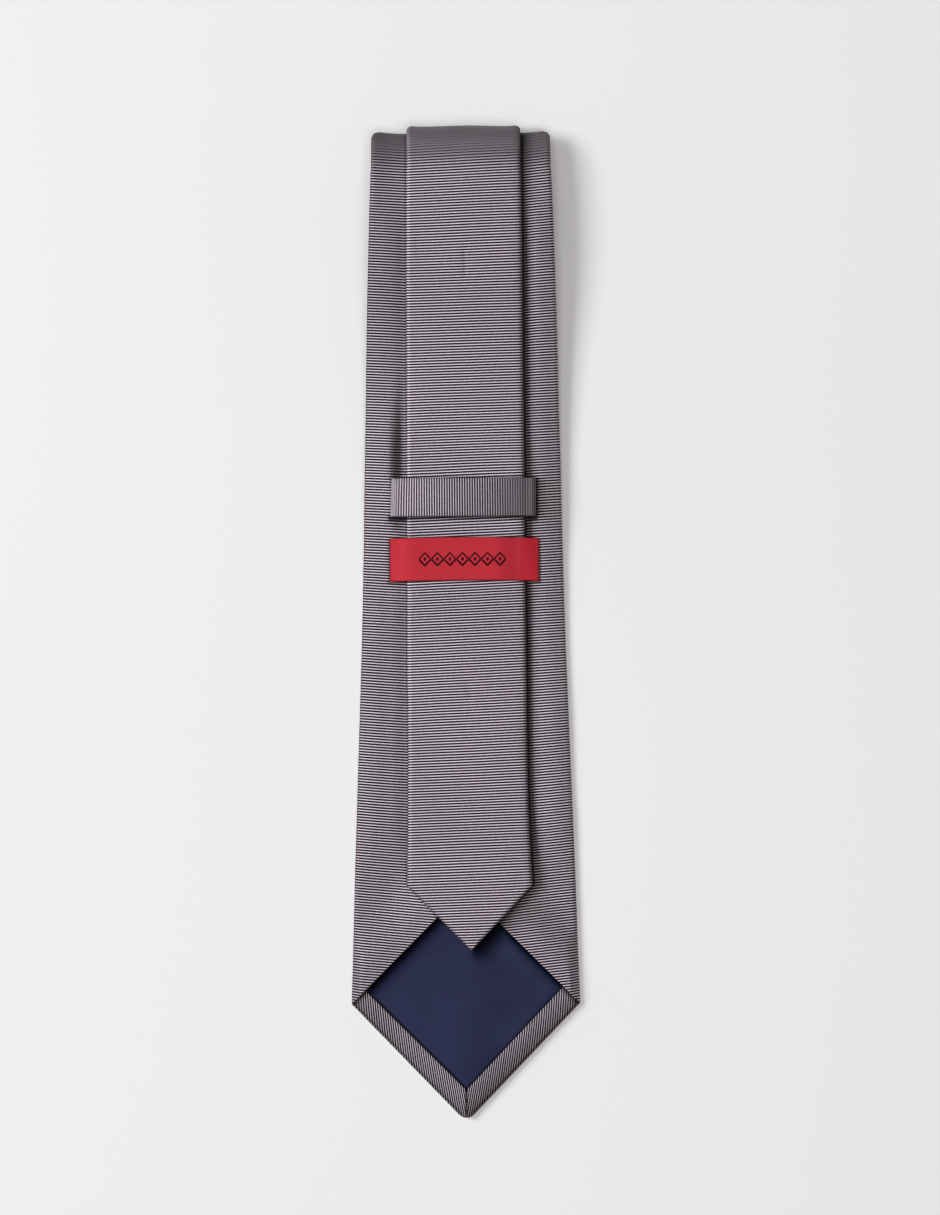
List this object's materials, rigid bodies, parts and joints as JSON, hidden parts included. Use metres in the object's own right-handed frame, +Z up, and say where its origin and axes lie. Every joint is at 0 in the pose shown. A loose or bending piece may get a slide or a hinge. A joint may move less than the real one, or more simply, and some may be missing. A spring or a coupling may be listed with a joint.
{
  "type": "folded slim necktie",
  "caption": "Slim ribbed necktie folded flat: narrow blade over the wide blade's back, keeper loop, sewn label and lined pointed tip.",
  "frame": {"origin": "on the surface the tie lies on, under the middle of its outline", "axes": "+X across the tie, +Y from the wide tip to the top fold, +Z up, away from the surface"},
  "size_m": [0.0706, 0.3056, 0.0144],
  "materials": {
    "ribbed_cloth": "woven grey-mauve cloth with fine ribs, soft silk sheen",
    "lining_cloth": "navy satin lining",
    "label_satin": "red woven satin ribbon"
  },
  "bodies": {
    "root": {"wide_blade": "ribbed_cloth", "neck_band": "ribbed_cloth", "narrow_blade": "ribbed_cloth", "tipping": "lining_cloth", "keeper_loop": "ribbed_cloth", "label": "label_satin"}
  },
  "joints": []
}
